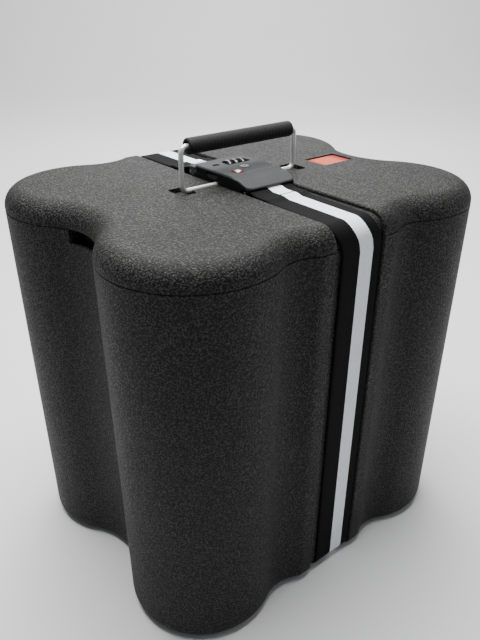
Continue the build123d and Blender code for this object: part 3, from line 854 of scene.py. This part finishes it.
def make_digits():
    dial_low, dial_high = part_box("dial_1")
    reach = (dial_high.z - dial_low.z) / 2 + digit_stand - digit_depth / 2
    shapes = [digit_mesh(digit, reach) for digit in range(digit_count)]
    for number, on_top in enumerate(top_digits, 1):
        low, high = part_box(f"dial_{number}")
        centre = (low + high) / 2
        bm = bmesh.new()
        for click in range(digit_count):
            turn = Matrix.Rotation(2 * math.pi * click / digit_count, 4, "X")
            mesh = shapes[(on_top + click) % digit_count].copy()
            mesh.transform(Matrix.Translation(centre) @ turn)
            bm.from_mesh(mesh)
            bpy.data.meshes.remove(mesh)
        digits = new_piece(f"digits_{number}", bm, f"dial_{number}", "dial_plastic", digit_paint)
        digits.data.polygons.foreach_set("use_smooth", [False] * len(digits.data.polygons))
    for shape in shapes:
        bpy.data.meshes.remove(shape)


# Foam pads, with their cut edges softened
pad_edge = 0.0016
flat_turn = math.radians(1)
sharp_turn = math.radians(50)


def make_pad(node, name, body):
    bm = bmesh.new()
    bm.from_mesh(frame["nodes"][node].data)
    bmesh.ops.remove_doubles(bm, verts=bm.verts, dist=weld)
    bmesh.ops.dissolve_limit(bm, angle_limit=flat_turn, verts=bm.verts, edges=bm.edges)
    sharp = [e for e in bm.edges if len(e.link_faces) == 2 and e.calc_face_angle() > sharp_turn]
    round_edges(bm, sharp, pad_edge, 3)
    pad = new_piece(name, bm, body, "pad_foam")
    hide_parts(node)


make_main_webbing()
make_rear_webbing()
make_grip()
make_badge()
make_disc()
make_digits()
make_pad("base_pad", "base_foam", "base")
make_pad("lid_pad", "lid_foam", "lid")

# Floor that curves up into a backdrop behind the object, and soft light
floor_half = 4.5
wall_height = 4.0
cove_radius = 1.6
cove_segments = 16
floor_levels = (0.73, 0.77)
world_color = (0.93, 0.96, 1.0, 1)
world_strength = 0.22
object_middle = Vector((0, 0, 0.25))
backdrop_middle = camera_heading * 4.3 + Vector((0, 0, 0.6))
# Each lamp: its name, place, target, size and power
lamps = (
    ("top_light", Vector((0.0, 0.20, 1.45)), object_middle, 1.1, 54.0),
    ("back_light", Vector((1.1, 1.4, 1.15)), object_middle, 1.4, 10.0),
    ("right_light", Vector((1.8, -1.1, 0.8)), object_middle, 1.0, 4.5),
    ("backdrop_light", camera_heading * 1.7 + Vector((0, 0, 2.7)), backdrop_middle, 2.0, 160.0),
)


def make_floor():
    bm = bmesh.new()
    bmesh.ops.create_grid(bm, x_segments=1, y_segments=1, size=floor_half)
    far = [e for e in bm.edges if all(vert.co.y > 0 for vert in e.verts)]
    made = bmesh.ops.extrude_edge_only(bm, edges=far)["geom"]
    upper = [g for g in made if isinstance(g, bmesh.types.BMVert)]
    bmesh.ops.translate(bm, verts=upper, vec=(0, 0, wall_height))
    round_edges(bm, far, cove_radius, cove_segments)
    turn = Vector((0, 1)).angle_signed(camera_heading.xy)
    bmesh.ops.rotate(bm, verts=bm.verts, cent=(0, 0, 0), matrix=Matrix.Rotation(-turn, 3, "Z"))
    mesh = bpy.data.meshes.new("floor")
    bm.to_mesh(mesh)
    bm.free()
    mesh.polygons.foreach_set("use_smooth", [True] * len(mesh.polygons))
    floor = bpy.data.objects.new("floor", mesh)
    bpy.context.scene.collection.objects.link(floor)
    finish = Finish("pale_floor")
    cloud = finish.noise(finish.place(), 3, 2)
    color = finish.mix(cloud, *map(grey, floor_levels))
    mesh.materials.append(finish.surface(color=color, roughness=0.9))


def make_light():
    world = bpy.data.worlds.new("studio")
    world.use_nodes = True
    sockets = world.node_tree.nodes["Background"].inputs
    sockets["Color"].default_value = world_color
    sockets["Strength"].default_value = world_strength
    bpy.context.scene.world = world
    for name, place, target, size, power in lamps:
        data = bpy.data.lights.new(name, "AREA")
        data.size = size
        data.energy = power
        lamp = bpy.data.objects.new(name, data)
        bpy.context.scene.collection.objects.link(lamp)
        turn = (target - place).to_track_quat("-Z", "Y").to_matrix().to_4x4()
        lamp.matrix_world = Matrix.Translation(place) @ turn
        lamp.visible_camera = False


make_floor()
make_light()
